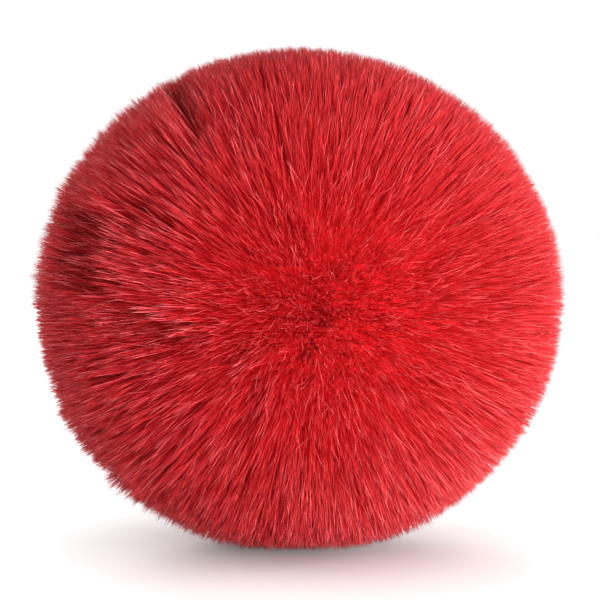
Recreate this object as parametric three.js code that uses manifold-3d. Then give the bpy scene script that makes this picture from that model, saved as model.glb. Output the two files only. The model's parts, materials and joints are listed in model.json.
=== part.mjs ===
// A soft cheer pom: a ball of long-pile fur round a stuffed bag, with a finger loop on its back.
// Millimetres, +Z up. The whorl of the fur faces -Y, the finger loop points to +Y, and the origin
// is the middle of the flat patch that the ball rests on.

import * as THREE from "three";
import { mergeVertices } from "three/addons/utils/BufferGeometryUtils.js";
import Module from "manifold-3d";

const wasm = await Module();
wasm.setup();

// ---- Driving dimensions ----

const BALL_WIDTH = 150;
const BALL_HEIGHT = 144;
const REST_FLATTENING = 3; // how far the ball's own weight presses its underside flat
const BALL_DEPTH_RADIUS = 70; // from the ball's centre to the tips in front
const PILE_LENGTH = 40.6; // from the backing to the tips at the ball's widest place
const GAP = 0.3; // clearance between pieces that touch
const NEST_RIM_RADIUS = 38; // where the pile turns in to the nest round the finger loop
const NEST_WALL = [ // [radius, y] from just inside the rim to the nest's floor
  [35.2, 61.4], [32.6, 60.6], [30.2, 56.5], [28.8, 48], [27.6, 38], [25.4, 29.5], [25.4, 20], [0, 20],
];

const BACKING_THICKNESS = 1.6;
const BAG_BACK_RADIUS = 36; // depth radius of the bag, before its back is cut flat
const BAG_FRONT_RADIUS = 33;
const CLOSURE_Y = 27; // outer face of the gathered hem
const MOUTH_RADIUS = 8.5; // what the gathering thread leaves open

const FELT_THICKNESS = 2;
const FELT_RADIUS = 22;
const STIFFENER_THICKNESS = 1.8;
const STIFFENER_RADIUS = 20.5;
const THREAD_RADIUS = 0.55;
const GATHERING_RADIUS = 7.4; // of the ring of thread inside the mouth
const KNOT_RADIUS = 0.75;
const KNOT_DROP = 5.7; // from the middle of the mouth down to the knot
const STITCHING_RADIUS = 23.3; // of the ring of thread round the felt's edge
const STITCHING_LIFT = 0.7; // from the hem to that ring

const RIVET_X = 14.5;
const RIVET_SHANK_RADIUS = 1.4;
const RIVET_HEAD_RADIUS = 3;
const RIVET_HEAD_HEIGHT = 1.4;
const RIVET_HEAD_EDGE = 0.3; // the straight edge below the dome
const RIVET_TAIL_RADIUS = 2.4;
const WASHER_THICKNESS = 0.6;
const WASHER_RADIUS = 3.8;

const BRACKET_THICKNESS = 1.6;
const BAR_RADIUS = 1.5;
const BAR_LIFT = 4.8; // from the felt to the middle of the bar
const LEG_CLEARANCE = 0.7; // from the webbing's edge to a leg
const LEG_THICKNESS = 2.3;
const FOOT_REACH = 3.6; // from a rivet's middle to the end of the foot
const BRACKET_HALF_WIDTH = 3.4;
const WEBBING_WIDTH = 16;
const WEBBING_THICKNESS = 1.3;
const TACK_AT = 6.6; // where the bar tack crosses the webbing, from the bar
const TACK_HALF_LENGTH = 5.6;
const TACK_HALF_WIDTH = 0.6;
const HALF_LOOP = [ // half the webbing's middle line, [along, across] from the bar: eye, neck and finger gap
  [-2.6, 0], [-1.85, -1.85], [0, -2.6], [1.9, -1.8], [3.7, -1], [5.2, -0.85], [6.8, -0.85],
  [8.2, -0.95], [9.5, -1.6], [11, -3.2], [14, -7], [18.6, -10], [24, -10.9], [29.2, -9.6],
  [33, -6.3], [35, -2.6],
];

// ---- Dimensions that follow from them ----

const ballRadius = BALL_WIDTH / 2;
const heightRadius = (BALL_HEIGHT + REST_FLATTENING) / 2;
const centreHeight = heightRadius - REST_FLATTENING;
const heightScale = heightRadius / ballRadius;
const bagRadius = ballRadius - PILE_LENGTH;
const holeRadius = RIVET_SHANK_RADIUS + GAP;

const stitchingY = CLOSURE_Y + STITCHING_LIFT;
const feltFrom = CLOSURE_Y + GAP;
const feltTo = feltFrom + FELT_THICKNESS;
const footFrom = feltTo + GAP;
const footTo = footFrom + BRACKET_THICKNESS;
const barY = feltTo + BAR_LIFT;
const hemInside = CLOSURE_Y - BACKING_THICKNESS;
const threadY = (CLOSURE_Y + hemInside) / 2;
const stiffenerTo = hemInside - GAP;
const stiffenerFrom = stiffenerTo - STIFFENER_THICKNESS;
const washerTo = stiffenerFrom - GAP;
const washerFrom = washerTo - WASHER_THICKNESS;
const tailTo = washerFrom - GAP;
const tailFrom = tailTo - WASHER_THICKNESS;

// ---- Helpers ----

/** A closed solid from a three.js geometry, with its faces pointing out. */
function solidOf(geometry) {
  const bare = geometry.clone();
  bare.deleteAttribute("normal");
  bare.deleteAttribute("uv");
  const merged = mergeVertices(bare, 1e-4);
  const at = merged.attributes.position;
  const index = merged.index.array;
  const corners = [new THREE.Vector3(), new THREE.Vector3(), new THREE.Vector3()];
  const triangles = [];
  let volume = 0;
  for (let i = 0; i < index.length; i += 3) {
    const face = [index[i], index[i + 1], index[i + 2]];
    if (new Set(face).size < 3) continue;
    face.forEach((v, k) => corners[k].fromBufferAttribute(at, v));
    volume += corners[0].dot(corners[1].clone().cross(corners[2]));
    triangles.push(face);
  }
  if (volume < 0) triangles.forEach((face) => face.reverse());
  const mesh = new wasm.Mesh({
    numProp: 3,
    vertProperties: new Float32Array(at.array),
    triVerts: new Uint32Array(triangles.flat()),
  });
  return new wasm.Manifold(mesh);
}

/** The named mesh of a solid. */
function meshOf(name, solid, material) {
  const mesh = solid.getMesh();
  const geometry = new THREE.BufferGeometry();
  geometry.setAttribute("position", new THREE.BufferAttribute(mesh.vertProperties, 3));
  geometry.setIndex(new THREE.BufferAttribute(mesh.triVerts, 1));
  geometry.computeVertexNormals();
  const made = new THREE.Mesh(geometry, material);
  made.name = name;
  return made;
}

/** A solid turned round the Y axis from a profile of [radius, y] points. */
function turned(profile, steps) {
  return solidOf(new THREE.LatheGeometry(profile.map(([r, y]) => new THREE.Vector2(r, y)), steps));
}

/** A ring or disc of rectangular section round the Y axis. */
function ring(inner, outer, from, to, steps) {
  const profile = [[inner, from], [outer, from], [outer, to], [inner, to]];
  if (inner > 0) profile.push([inner, from]);
  return turned(profile, steps);
}

/** A round ring of thread about the Y axis. */
function threadRing(radius, y, thickness, steps) {
  const turn = new THREE.EllipseCurve(radius, y, thickness, thickness);
  return turned(turn.getPoints(6).map((p) => [p.x, p.y]), steps);
}

/** Points of an ellipse round the origin of the [radius, y] plane, from one y to another. */
function ellipseArc(radius, depth, fromY, toY, count) {
  const first = Math.asin(THREE.MathUtils.clamp(fromY / depth, -1, 1));
  const last = Math.asin(THREE.MathUtils.clamp(toY / depth, -1, 1));
  return Array.from({ length: count + 1 }, (_, i) => {
    const angle = first + ((last - first) * i) / count;
    return [Math.max(radius * Math.cos(angle), 0), depth * Math.sin(angle)];
  });
}

/** A box between two corners. */
function box(low, high) {
  const size = high.map((h, i) => h - low[i]);
  const geometry = new THREE.BoxGeometry(...size);
  geometry.translate(...high.map((h, i) => (h + low[i]) / 2));
  return solidOf(geometry);
}

/** A cylinder along Y at x, from one y to another. */
function pinHole(x, radius, from, to) {
  const geometry = new THREE.CylinderGeometry(radius, radius, to - from, 16);
  geometry.translate(x, (from + to) / 2, 0);
  return solidOf(geometry);
}

/** Cuts the two rivet holes. */
function drilled(solid) {
  const left = pinHole(-RIVET_X, holeRadius, -1, footTo + 1);
  const right = pinHole(RIVET_X, holeRadius, -1, footTo + 1);
  return solid.subtract(left).subtract(right);
}

/** Half of the bag's section, offset inwards, from its front pole to the plane of the closure. */
function bagArc(inset, toY) {
  const radius = bagRadius - inset;
  const front = ellipseArc(radius, BAG_FRONT_RADIUS - inset, inset - BAG_FRONT_RADIUS, 0, 7);
  const back = ellipseArc(radius, BAG_BACK_RADIUS - inset, 0, toY, 4);
  return [...front, ...back.slice(1)];
}

// ---- Materials ----

const furRed = new THREE.MeshStandardMaterial({ color: 0xc01f26, roughness: 0.75, metalness: 0 });
const knitRed = new THREE.MeshStandardMaterial({ color: 0x7d1519, roughness: 0.95, metalness: 0 });
const fillWhite = new THREE.MeshStandardMaterial({ color: 0xece8df, roughness: 1, metalness: 0 });
const threadRed = new THREE.MeshStandardMaterial({ color: 0x8e141a, roughness: 0.6, metalness: 0 });
const discWhite = new THREE.MeshStandardMaterial({ color: 0xd9d9d4, roughness: 0.5, metalness: 0 });
const feltRed = new THREE.MeshStandardMaterial({ color: 0x9c181d, roughness: 1, metalness: 0 });
const bracketBlack = new THREE.MeshStandardMaterial({ color: 0x17171a, roughness: 0.45, metalness: 0 });
const nickel = new THREE.MeshStandardMaterial({ color: 0xb9b9b4, roughness: 0.25, metalness: 1 });
const webbingRed = new THREE.MeshStandardMaterial({ color: 0x8f1419, roughness: 0.85, metalness: 0 });

// ---- The ball ----

/** The pile as one solid: a thick shell round the bag, with a nest at the back for the loop. */
function furPile() {
  const rimY = BALL_DEPTH_RADIUS * Math.sqrt(1 - (NEST_RIM_RADIUS / ballRadius) ** 2);
  const outside = ellipseArc(ballRadius, BALL_DEPTH_RADIUS, -BALL_DEPTH_RADIUS, rimY, 24);
  const ball = turned([...outside, ...NEST_WALL], 44).scale([1, 1, heightScale]);
  const bagSpace = turned([...bagArc(-GAP, CLOSURE_Y), [0, CLOSURE_Y]], 32);
  const under = box([-ballRadius, -ballRadius, -2 * ballRadius], [ballRadius, ballRadius, -centreHeight]);
  return ball.subtract(bagSpace).subtract(under);
}

/** The knitted bag, with its hem gathered flat over the mouth. */
function backingFabric() {
  const outside = bagArc(0, CLOSURE_Y);
  const hem = [[MOUTH_RADIUS, CLOSURE_Y], [MOUTH_RADIUS, hemInside]];
  const inside = bagArc(BACKING_THICKNESS, hemInside).reverse();
  return drilled(turned([...outside, ...hem, ...inside], 32));
}

/** The filling, flat behind the stiffener and its rivets. */
function stuffing() {
  const back = tailFrom - GAP;
  const profile = [...bagArc(BACKING_THICKNESS + GAP, back), [0, back]];
  return turned(profile, 28);
}

/** The knot lies below the ring of gathering thread, inside the mouth. */
function gatheringKnot() {
  const knot = new THREE.SphereGeometry(KNOT_RADIUS, 10, 8);
  knot.translate(0, threadY, -KNOT_DROP);
  return solidOf(knot);
}

// ---- The closure ----

/** A domed head outside the bracket, the shank, and the clinched tail inside the bag. */
function rivet() {
  const head = footTo + GAP;
  const domeFrom = head + RIVET_HEAD_EDGE;
  const domeHeight = RIVET_HEAD_HEIGHT - RIVET_HEAD_EDGE;
  const dome = new THREE.EllipseCurve(0, domeFrom, RIVET_HEAD_RADIUS, domeHeight, 0, Math.PI / 2);
  const profile = [
    [0, tailFrom],
    [RIVET_TAIL_RADIUS, tailFrom],
    [RIVET_TAIL_RADIUS, tailTo],
    [RIVET_SHANK_RADIUS, tailTo],
    [RIVET_SHANK_RADIUS, head],
    [RIVET_HEAD_RADIUS, head],
    ...dome.getPoints(5).map((p) => [Math.max(p.x, 0), p.y]),
  ];
  profile[profile.length - 1][0] = 0;
  return turned(profile, 16);
}

/** Two riveted feet, two legs, and the round bar between them. */
function loopBracket() {
  const legFrom = WEBBING_WIDTH / 2 + LEG_CLEARANCE;
  const legTo = legFrom + LEG_THICKNESS;
  const footEnd = RIVET_X + FOOT_REACH;
  const bar = new THREE.CylinderGeometry(BAR_RADIUS, BAR_RADIUS, 2 * legFrom + 1, 20);
  bar.rotateZ(Math.PI / 2);
  bar.translate(0, barY, 0);
  let solid = solidOf(bar);
  for (const side of [-1, 1]) {
    const across = (from, to) => [Math.min(side * from, side * to), Math.max(side * from, side * to)];
    const [footLow, footHigh] = across(legFrom, footEnd);
    const [legLow, legHigh] = across(legFrom, legTo);
    const foot = box([footLow, footFrom, -BRACKET_HALF_WIDTH], [footHigh, footTo, BRACKET_HALF_WIDTH]);
    const leg = box([legLow, footFrom, -BRACKET_HALF_WIDTH], [legHigh, barY, BRACKET_HALF_WIDTH]);
    const crown = new THREE.CylinderGeometry(BRACKET_HALF_WIDTH, BRACKET_HALF_WIDTH, LEG_THICKNESS, 28);
    crown.rotateZ(Math.PI / 2);
    crown.translate((legLow + legHigh) / 2, barY, 0);
    const wide = BRACKET_HALF_WIDTH + 1;
    const belowBar = box([-footEnd, 0, -wide], [footEnd, barY - 0.5, wide]);
    const top = solidOf(crown).subtract(belowBar);
    solid = solid.add(foot).add(leg).add(top);
  }
  return drilled(solid);
}

// ---- The finger loop ----

/** The middle line of the webbing: an eye round the bar, a neck, and a finger gap. */
function webbingLine() {
  const mirrored = HALF_LOOP.slice(1).reverse().map(([along, across]) => [along, -across]);
  const points = [...HALF_LOOP, ...mirrored].map(([along, across]) => new THREE.Vector3(along, across, 0));
  return new THREE.CatmullRomCurve3(points, true, "centripetal");
}

/** The webbing's edge, offset outwards from its middle line. */
function webbingEdge(line, offset, steps) {
  return Array.from({ length: steps }, (_, i) => {
    const at = line.getPointAt(i / steps);
    const along = line.getTangentAt(i / steps);
    return new THREE.Vector2(at.x + along.y * offset, at.y - along.x * offset);
  });
}

function fingerLoop() {
  const line = webbingLine();
  const steps = 88;
  const section = new THREE.Shape(webbingEdge(line, WEBBING_THICKNESS / 2, steps));
  section.holes.push(new THREE.Path(webbingEdge(line, -WEBBING_THICKNESS / 2, steps)));
  const band = new THREE.ExtrudeGeometry(section, { depth: WEBBING_WIDTH, bevelEnabled: false });
  band.translate(0, 0, -WEBBING_WIDTH / 2);
  band.applyMatrix4(
    new THREE.Matrix4().makeBasis(
      new THREE.Vector3(0, 1, 0),
      new THREE.Vector3(0, 0, 1),
      new THREE.Vector3(1, 0, 0),
    ),
  );
  band.translate(0, barY, 0);
  return solidOf(band).subtract(tackBlock(GAP));
}

/** The thread of the bar tack, which goes through both plies of the neck. */
function tackBlock(margin) {
  const halfLength = TACK_HALF_LENGTH + margin;
  const halfWidth = TACK_HALF_WIDTH + margin;
  const halfDepth = WEBBING_THICKNESS + THREAD_RADIUS + 4 * margin;
  const low = [-halfLength, barY + TACK_AT - halfWidth, -halfDepth];
  const high = [halfLength, barY + TACK_AT + halfWidth, halfDepth];
  return box(low, high);
}

// ---- Assembly ----

const feltDisc = drilled(ring(0, FELT_RADIUS, feltFrom, feltTo, 36));
const stiffenerDisc = drilled(ring(0, STIFFENER_RADIUS, stiffenerFrom, stiffenerTo, 32));
const washer = ring(holeRadius, WASHER_RADIUS, washerFrom, washerTo, 16);

const pieces = [
  meshOf("fur_pile", furPile(), furRed),
  meshOf("backing_fabric", backingFabric(), knitRed),
  meshOf("stuffing", stuffing(), fillWhite),
  meshOf("gathering_thread", threadRing(GATHERING_RADIUS, threadY, THREAD_RADIUS, 28), threadRed),
  meshOf("gathering_knot", gatheringKnot(), threadRed),
  meshOf("stiffener_disc", stiffenerDisc, discWhite),
  meshOf("felt_patch", feltDisc, feltRed),
  meshOf("felt_stitching", threadRing(STITCHING_RADIUS, stitchingY, THREAD_RADIUS, 40), threadRed),
  meshOf("loop_bracket", loopBracket(), bracketBlack),
  meshOf("finger_loop", fingerLoop(), webbingRed),
  meshOf("loop_stitching", tackBlock(0), threadRed),
];

for (const [side, x] of [["left", -RIVET_X], ["right", RIVET_X]]) {
  const pin = meshOf(`rivet_${side}`, rivet(), nickel);
  const plate = meshOf(`washer_${side}`, washer, nickel);
  pin.position.x = x;
  plate.position.x = x;
  pieces.push(pin, plate);
}

const pom = new THREE.Group();
pom.add(...pieces);
pom.position.z = centreHeight;

export default pom;
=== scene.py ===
import json
import math

import bmesh
import bpy
import numpy as np
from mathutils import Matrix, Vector, noise
from mathutils.kdtree import KDTree


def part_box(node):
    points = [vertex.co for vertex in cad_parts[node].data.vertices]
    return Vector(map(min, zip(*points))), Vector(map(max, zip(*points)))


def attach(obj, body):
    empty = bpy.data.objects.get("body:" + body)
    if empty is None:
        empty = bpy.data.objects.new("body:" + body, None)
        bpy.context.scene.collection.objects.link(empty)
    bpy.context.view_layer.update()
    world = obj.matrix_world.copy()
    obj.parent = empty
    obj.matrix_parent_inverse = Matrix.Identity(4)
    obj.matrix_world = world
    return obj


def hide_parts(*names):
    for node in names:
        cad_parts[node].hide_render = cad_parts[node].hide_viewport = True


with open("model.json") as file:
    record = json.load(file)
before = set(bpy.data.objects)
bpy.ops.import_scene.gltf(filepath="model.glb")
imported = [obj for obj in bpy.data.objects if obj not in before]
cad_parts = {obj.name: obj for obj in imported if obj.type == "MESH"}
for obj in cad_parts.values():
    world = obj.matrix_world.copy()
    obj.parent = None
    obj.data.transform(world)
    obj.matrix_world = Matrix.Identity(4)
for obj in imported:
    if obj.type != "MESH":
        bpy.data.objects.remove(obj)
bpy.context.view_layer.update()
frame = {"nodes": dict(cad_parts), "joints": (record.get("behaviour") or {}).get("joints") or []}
rng = np.random.default_rng(618)

# ---- Dimensions, in millimetres from the ball's centre, worked out from the frame ----

MM = 0.001
BAG_BOX = [np.array(corner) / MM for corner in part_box("backing_fabric")]
CENTRE = np.array([0.0, 0.0, (BAG_BOX[0][2] + BAG_BOX[1][2]) / 2])


def around_centre(node):
    """A CAD node's lowest and highest corners."""
    return [np.array(corner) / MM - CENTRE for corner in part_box(node)]


FUR_LOW, FUR_HIGH = around_centre("fur_pile")
BAG_LOW, BAG_HIGH = around_centre("backing_fabric")
FELT_LOW, FELT_HIGH = around_centre("felt_patch")
DISC_LOW, DISC_HIGH = around_centre("stiffener_disc")
FILL_LOW, FILL_HIGH = around_centre("stuffing")
RIVET_LOW, RIVET_HIGH = around_centre("rivet_right")
WASHER_LOW, WASHER_HIGH = around_centre("washer_right")
THREAD_LOW, THREAD_HIGH = around_centre("gathering_thread")
STITCH_LOW, STITCH_HIGH = around_centre("felt_stitching")
LOOP_HIGH = around_centre("finger_loop")[1]
TACK_LOW, TACK_HIGH = around_centre("loop_stitching")
BRACKET_LOW = around_centre("loop_bracket")[0]
BAR = np.array(frame["joints"][0]["pos_m"]) / MM - CENTRE

# The longest tips reach a little past the CAD ball at its sides, and stop a little short at its top.
TIPS_AT_SIDES = 1.012
TIPS_AT_TOP = 0.99
BALL = np.array([FUR_HIGH[0] * TIPS_AT_SIDES, -FUR_LOW[1], FUR_HIGH[2] * TIPS_AT_TOP])
BAG_RADIUS = BAG_HIGH[0]
BAG_FRONT = -BAG_LOW[1]
BAG_BACK = 36.0
HEM_Y = BAG_HIGH[1]
FELT_RADIUS = FELT_HIGH[0]
RIVET_X = (RIVET_LOW[0] + RIVET_HIGH[0]) / 2
SHANK_RADIUS = 1.4
HOLE_RADIUS = 1.7
THREAD_Y = (THREAD_LOW[1] + THREAD_HIGH[1]) / 2
THREAD_SIZE = 0.34


# ---- Shapes: each is a list of points and a list of faces ----

def unit(v):
    """Vectors made one long."""
    return v / np.maximum(np.linalg.norm(v, axis=-1, keepdims=True), 1e-9)


def smooth(x, low, high):
    """0 below low, 1 above high, and a smooth rise between them."""
    t = np.clip((x - low) / (high - low), 0, 1)
    return t * t * (3 - 2 * t)


def turns(count):
    """That many angles round a full turn."""
    return np.arange(count) * 2 * math.pi / count


def grid_faces(rows, columns, close_rows=False):
    """The quads of a grid of points whose columns close on themselves."""
    i, j = np.meshgrid(np.arange(rows if close_rows else rows - 1), np.arange(columns), indexing="ij")
    next_i = (i + 1) % rows
    next_j = (j + 1) % columns
    quads = [i * columns + j, i * columns + next_j, next_i * columns + next_j, next_i * columns + j]
    return np.stack(quads, axis=2).reshape(-1, 4).tolist()


def round_rings(r, y, steps):
    """The points of rings round the Y axis."""
    angle = turns(steps)
    r = np.broadcast_to(r, (len(r), steps))
    y = np.broadcast_to(y, (len(y), steps))
    return np.stack([r * np.cos(angle), y, r * np.sin(angle)], axis=2).reshape(-1, 3)


def turned(r, y, steps, poles):
    """Rings round the Y axis, closed at each end by a point on the axis at the y in poles."""
    points = round_rings(r, y, steps)
    end = len(points)
    faces = grid_faces(len(r), steps)
    for s in range(steps):
        n = (s + 1) % steps
        faces.append([end, n, s])
        faces.append([end + 1, end - steps + s, end - steps + n])
    return np.concatenate([points, [[0, poles[0], 0], [0, poles[1], 0]]]), faces


def lathe(profile, steps):
    """A [radius, y] profile turned round the Y axis. It starts and ends on the axis, or closes on itself."""
    profile = np.asarray(profile, float)
    if profile[0, 0] == 0:
        middle = profile[1:-1]
        return turned(middle[:, :1], middle[:, 1:], steps, (profile[0, 1], profile[-1, 1]))
    points = round_rings(profile[:, :1], profile[:, 1:], steps)
    return points, grid_faces(len(profile), steps, close_rows=True)


def arc(centre, radii, start, end, count):
    """[radius, y] points of part of an ellipse, between two angles in degrees."""
    a = np.radians(np.linspace(start, end, count))
    return np.stack([centre[0] + radii[0] * np.cos(a), centre[1] + radii[1] * np.sin(a)], axis=1)


def frames(path, closed):
    """Unit vectors along and across a path, carried along it without twist."""
    if closed:
        along = unit(np.roll(path, -1, axis=0) - np.roll(path, 1, axis=0))
    else:
        along = unit(np.gradient(path, axis=0))
    across = np.empty_like(path)
    side = unit(np.cross(along[0], [0.31, 0.52, 0.79]))
    for k, direction in enumerate(along):
        side = unit(side - direction * (side @ direction))
        across[k] = side
    third = np.cross(along, across)
    if closed:
        side = unit(side - along[0] * (side @ along[0]))
        twist = math.atan2(side @ third[0], side @ across[0])
        back = -twist * np.arange(len(path)) / len(path)
        across = np.cos(back)[:, None] * across + np.sin(back)[:, None] * third
        third = np.cross(along, across)
    return across, third


def tube(path, radius, sides=8, closed=False):
    """A round tube along a path."""
    across, third = frames(path, closed)
    angle = turns(sides)[None, :, None]
    ring = np.cos(angle) * across[:, None] + np.sin(angle) * third[:, None]
    points = (path[:, None] + ring * radius).reshape(-1, 3)
    faces = grid_faces(len(path), sides, close_rows=closed)
    if not closed:
        faces.append(list(range(sides))[::-1])
        faces.append([len(points) - sides + s for s in range(sides)])
    return points, faces


def joined(shapes):
    """Several shapes as one."""
    points, faces, first = [], [], 0
    for more_points, more_faces in shapes:
        points.append(more_points)
        faces += [[corner + first for corner in face] for face in more_faces]
        first += len(more_points)
    return np.concatenate(points), faces


def travelled(path):
    """How far along a path each of its points is."""
    return np.concatenate([[0], np.cumsum(np.linalg.norm(np.diff(path, axis=0), axis=1))])


def even(path, count, closed=False):
    """That many points, evenly spaced along a path."""
    if closed:
        path = np.concatenate([path, path[:1]])
    gone = travelled(path)
    wanted = np.linspace(0, gone[-1], count, endpoint=not closed)
    return np.stack([np.interp(wanted, gone, axis) for axis in path.T], axis=1)


def curve(points, closed=False, steps=16):
    """A centripetal Catmull-Rom curve through points."""
    points = np.asarray(points, float)
    if closed:
        held = np.concatenate([points[-1:], points, points[:2]])
    else:
        held = np.concatenate([2 * points[:1] - points[1:2], points, 2 * points[-1:] - points[-2:-1]])
    out = []
    for p0, p1, p2, p3 in zip(held, held[1:], held[2:], held[3:]):
        knots = np.cumsum([0] + [math.sqrt(np.linalg.norm(b - a)) for a, b in ((p0, p1), (p1, p2), (p2, p3))])
        t0, t1, t2, t3 = knots
        t = np.linspace(t1, t2, steps, endpoint=False)[:, None]
        a1 = ((t1 - t) * p0 + (t - t0) * p1) / (t1 - t0)
        a2 = ((t2 - t) * p1 + (t - t1) * p2) / (t2 - t1)
        a3 = ((t3 - t) * p2 + (t - t2) * p3) / (t3 - t2)
        b1 = ((t2 - t) * a1 + (t - t0) * a2) / (t2 - t0)
        b2 = ((t3 - t) * a2 + (t - t1) * a3) / (t3 - t1)
        out.append(((t2 - t) * b1 + (t - t1) * b2) / (t2 - t1))
    if not closed:
        out.append(points[-1:])
    return np.concatenate(out)


def thread(path, radius, closed=False, plies=3, pitch=2.4):
    """Plies wound round each other along a path, as sewing thread is."""
    across, third = frames(path, closed)
    whole = np.concatenate([path, path[:1]]) if closed else path
    gone = travelled(whole)
    rounds = gone[-1] / pitch
    if closed:
        rounds = round(rounds)
    gone = gone[: len(path)] / gone[-1]
    shapes = []
    for ply in range(plies):
        angle = (gone * rounds + ply / plies)[:, None] * 2 * math.pi
        offset = np.cos(angle) * across + np.sin(angle) * third
        shapes.append(tube(path + offset * radius * 0.46, radius * 0.56, 7, closed))
    return joined(shapes)


def ring_path(radius, y, count, wave=0.0, waves=0):
    """A ring round the Y axis that may wander in and out of its plane."""
    a = turns(count)
    r = radius + wave * np.cos(waves * a)
    return np.stack([r * np.cos(a), y + wave * np.sin(waves * a), r * np.sin(a)], axis=1)


# ---- Pieces ----

def mesh_of(name, shape):
    """A shape as a mesh, where it is on the ball."""
    points, faces = shape
    mesh = bpy.data.meshes.new(name)
    mesh.from_pydata(((points + CENTRE) * MM).tolist(), [], faces)
    return mesh


def placed(name, data):
    """A mesh, light or camera as an object in the scene."""
    thing = bpy.data.objects.new(name, data)
    bpy.context.scene.collection.objects.link(thing)
    return thing


def add(name, shape, material, body="root", replaces=(), sharp=180):
    """A piece of the object. Edges sharper than an angle in degrees don't look smooth."""
    mesh = mesh_of(name, shape)
    form = bmesh.new()
    form.from_mesh(mesh)
    if form.calc_volume(signed=True) < 0:
        bmesh.ops.reverse_faces(form, faces=form.faces)
    form.to_mesh(mesh)
    form.free()
    piece = placed(name, mesh)
    finish_piece(piece, material, sharp)
    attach(piece, body)
    if replaces:
        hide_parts(*replaces)
    return piece


def finish_piece(piece, material, sharp):
    """Smooth shading and the material."""
    piece.data.materials.clear()
    piece.data.materials.append(material)
    piece.data.polygons.foreach_set("use_smooth", np.ones(len(piece.data.polygons), bool))
    if sharp < 180:
        piece.data.set_sharp_from_angle(angle=math.radians(sharp))


def drilled(piece, material, sharp):
    """Cuts the two rivet holes."""
    low, high = BAG_LOW[1] + 40, HEM_Y + 10
    pins = [tube(np.array([[x, low, 0], [x, high, 0]]), HOLE_RADIUS, 32) for x in (-RIVET_X, RIVET_X)]
    drill = placed("drill", mesh_of("drill", joined(pins)))
    cut = piece.modifiers.new("rivet holes", "BOOLEAN")
    cut.object = drill
    bpy.context.view_layer.update()
    seen = piece.evaluated_get(bpy.context.evaluated_depsgraph_get())
    piece.data = bpy.data.meshes.new_from_object(seen)
    piece.modifiers.clear()
    bpy.data.objects.remove(drill)
    finish_piece(piece, material, sharp)


# ---- Materials: patterns are in millimetres ----

STITCH_WIDTH = 1.2
STITCH_HEIGHT = 0.9
WEFT_PITCH = 1.2
YARN_PITCH = 0.4
TINT_MOST = 0.9  # the map's places above this are for pale strands
# Pale strands' place on the map: the strays, and tips painted as sheen and highlight.
TINT_PALE_AND_SHEEN = 0.98
# Colours from root to tip of the deepest, the lightest and the pale strands. Roots are darker as painted
# shade deep in the pile, and tips lighter and pinker, partly the fibres' own paler ends and partly painted
# sheen.
# The deepest colours also carry the painted shade of the hollows, and the pale ones the painted sheen on
# tips.
FUR_DEEP_AND_HOLLOW_SHADE = [(0.0, (0.14, 0.001, 0.002)), (0.6, (0.17, 0.002, 0.003)),
            (0.86, (0.24, 0.004, 0.006)), (1.0, (0.36, 0.020, 0.024))]
FUR_LIGHT = [(0.0, (0.50, 0.004, 0.007)), (0.6, (0.54, 0.006, 0.010)),
             (0.86, (0.60, 0.012, 0.017)), (1.0, (0.70, 0.066, 0.074))]
FUR_PALE_AND_SHEEN = [(0.0, (0.30, 0.003, 0.006)), (0.66, (0.48, 0.010, 0.015)),
            (0.84, (0.66, 0.055, 0.065)), (1.0, (0.80, 0.170, 0.180))]
UNDER_FUR = [(0.3, (0.30, 0.003, 0.005)), (0.7, (0.46, 0.005, 0.008))]
KNIT_REDS_AND_GROOVE_SHADE = [(0.1, (0.07, 0.003, 0.004)), (0.5, (0.2, 0.008, 0.01)), (0.9, (0.34, 0.02, 0.024))]
FELT_REDS = [(0.25, (0.16, 0.004, 0.006)), (0.5, (0.33, 0.009, 0.012)), (0.75, (0.48, 0.03, 0.034))]
THREAD_REDS = [(0.3, (0.20, 0.003, 0.006)), (0.7, (0.48, 0.010, 0.015))]
WEBBING_REDS_AND_WEAVE_SHADE = [(0.2, (0.1, 0.003, 0.005)), (0.5, (0.26, 0.007, 0.01)), (0.85, (0.4, 0.02, 0.024))]
FILLING_WHITES = [(0.3, (0.62, 0.6, 0.55)), (0.7, (0.88, 0.87, 0.84))]
DISC_WHITES = [(0.3, (0.7, 0.7, 0.66)), (0.7, (0.82, 0.82, 0.79))]
BRACKET_BLACKS = [(0.3, (0.009, 0.009, 0.01)), (0.75, (0.022, 0.022, 0.024))]


def material(name, roughness, specular=0.3, metallic=0.0, sheen=0.0):
    made = bpy.data.materials.new(name)
    made.use_nodes = True
    values = {"Roughness": roughness, "Specular IOR Level": specular, "Metallic": metallic,
              "Sheen Weight": sheen, "Sheen Roughness": 0.4}
    for key, value in values.items():
        made.node_tree.nodes["Principled BSDF"].inputs[key].default_value = value
    return made


def node(made, kind, inputs, **settings):
    """A node whose inputs are numbers, vectors or other nodes' outputs. Gives its first output."""
    new = made.node_tree.nodes.new(kind)
    for setting, value in settings.items():
        setattr(new, setting, value)
    for key, value in inputs.items():
        if isinstance(value, bpy.types.NodeSocket):
            made.node_tree.links.new(value, new.inputs[key])
        else:
            new.inputs[key].default_value = value
    return new.outputs[0]


def sums(made, operation, *values):
    """The result of a Math node."""
    return node(made, "ShaderNodeMath", dict(enumerate(values)), operation=operation)


def position(made, stretch=(1, 1, 1)):
    """Where the surface is, in millimetres from the ball's centre, stretched along each axis."""
    at = made.node_tree.nodes.new("ShaderNodeTexCoord").outputs["Object"]
    scale = np.array(stretch) / MM
    shift = -CENTRE * np.array(stretch)
    moved = {"Vector": at, "Scale": scale.tolist(), "Location": shift.tolist()}
    return node(made, "ShaderNodeMapping", moved)


def parts_of(made, vector):
    """A vector's X, Y and Z."""
    split = made.node_tree.nodes.new("ShaderNodeSeparateXYZ")
    made.node_tree.links.new(vector, split.inputs["Vector"])
    return split.outputs


def on_map(made, name):
    """The place on a map, across and up."""
    return parts_of(made, node(made, "ShaderNodeUVMap", {}, uv_map=name))[:2]


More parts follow.
